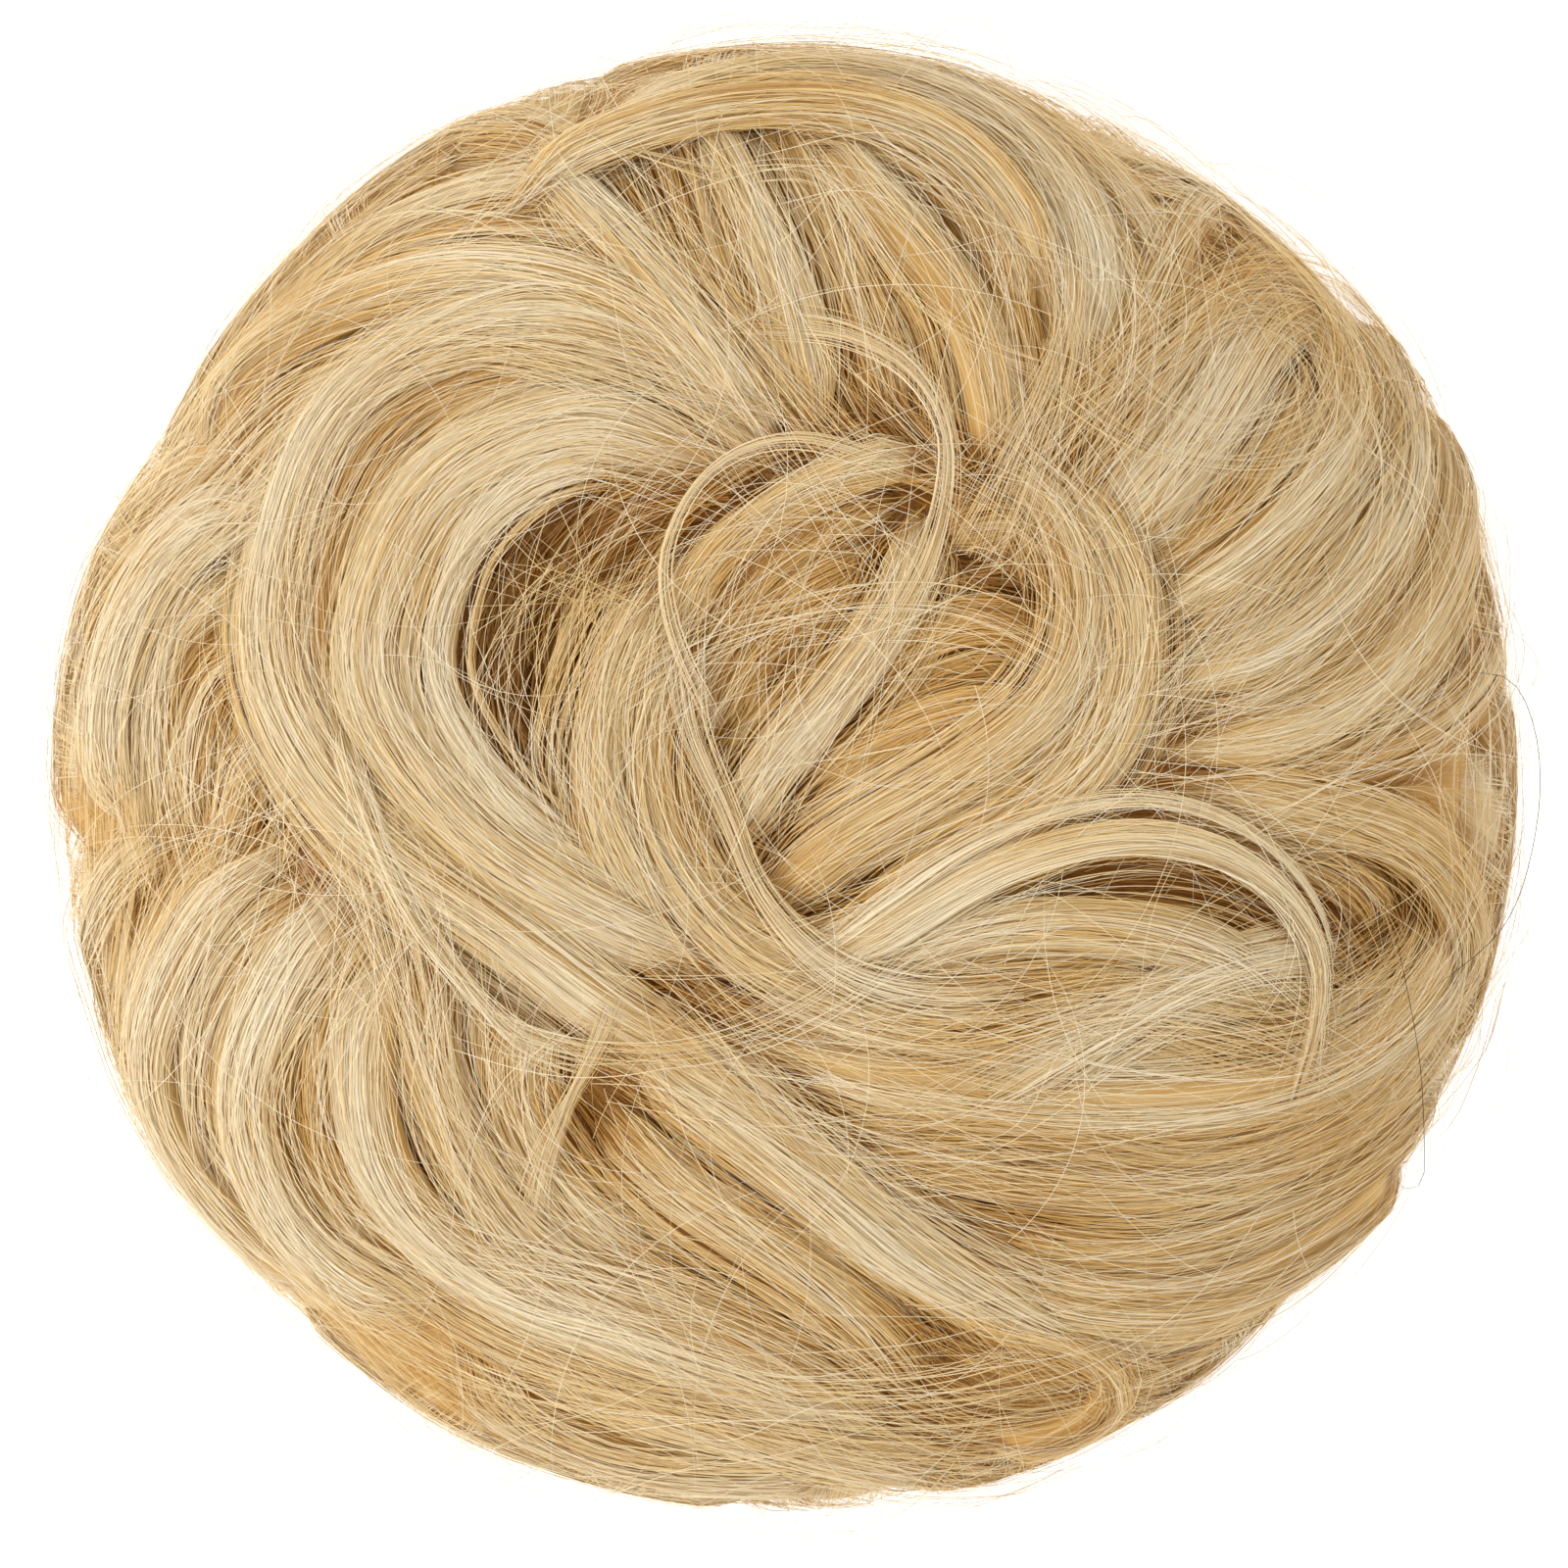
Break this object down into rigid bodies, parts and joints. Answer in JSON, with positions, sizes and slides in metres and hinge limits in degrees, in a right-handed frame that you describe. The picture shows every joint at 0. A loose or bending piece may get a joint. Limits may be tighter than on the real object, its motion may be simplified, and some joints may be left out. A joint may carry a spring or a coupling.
{
  "type": "top knot hairpiece",
  "caption": "Round messy bun hairpiece of looped, crossing locks over a hollow padded ring, with a hidden elastic band in its mouth.",
  "frame": {"origin": "centre of the bounding box seen from above, on the plane it rests on (the wearer's side, at z = 0)", "axes": "+Z out of the crown of the bun, away from the wearer's head; +Y towards the edge where the locks fan down into the crown; +X completes the right-handed frame"},
  "size_m": [0.1478, 0.1477, 0.0595],
  "materials": {
    "hair": "glossy blonde synthetic fibre",
    "elastic": "woven, matte"
  },
  "bodies": {
    "root": {"hair_bun": "hair", "elastic_band": "elastic"}
  },
  "joints": []
}
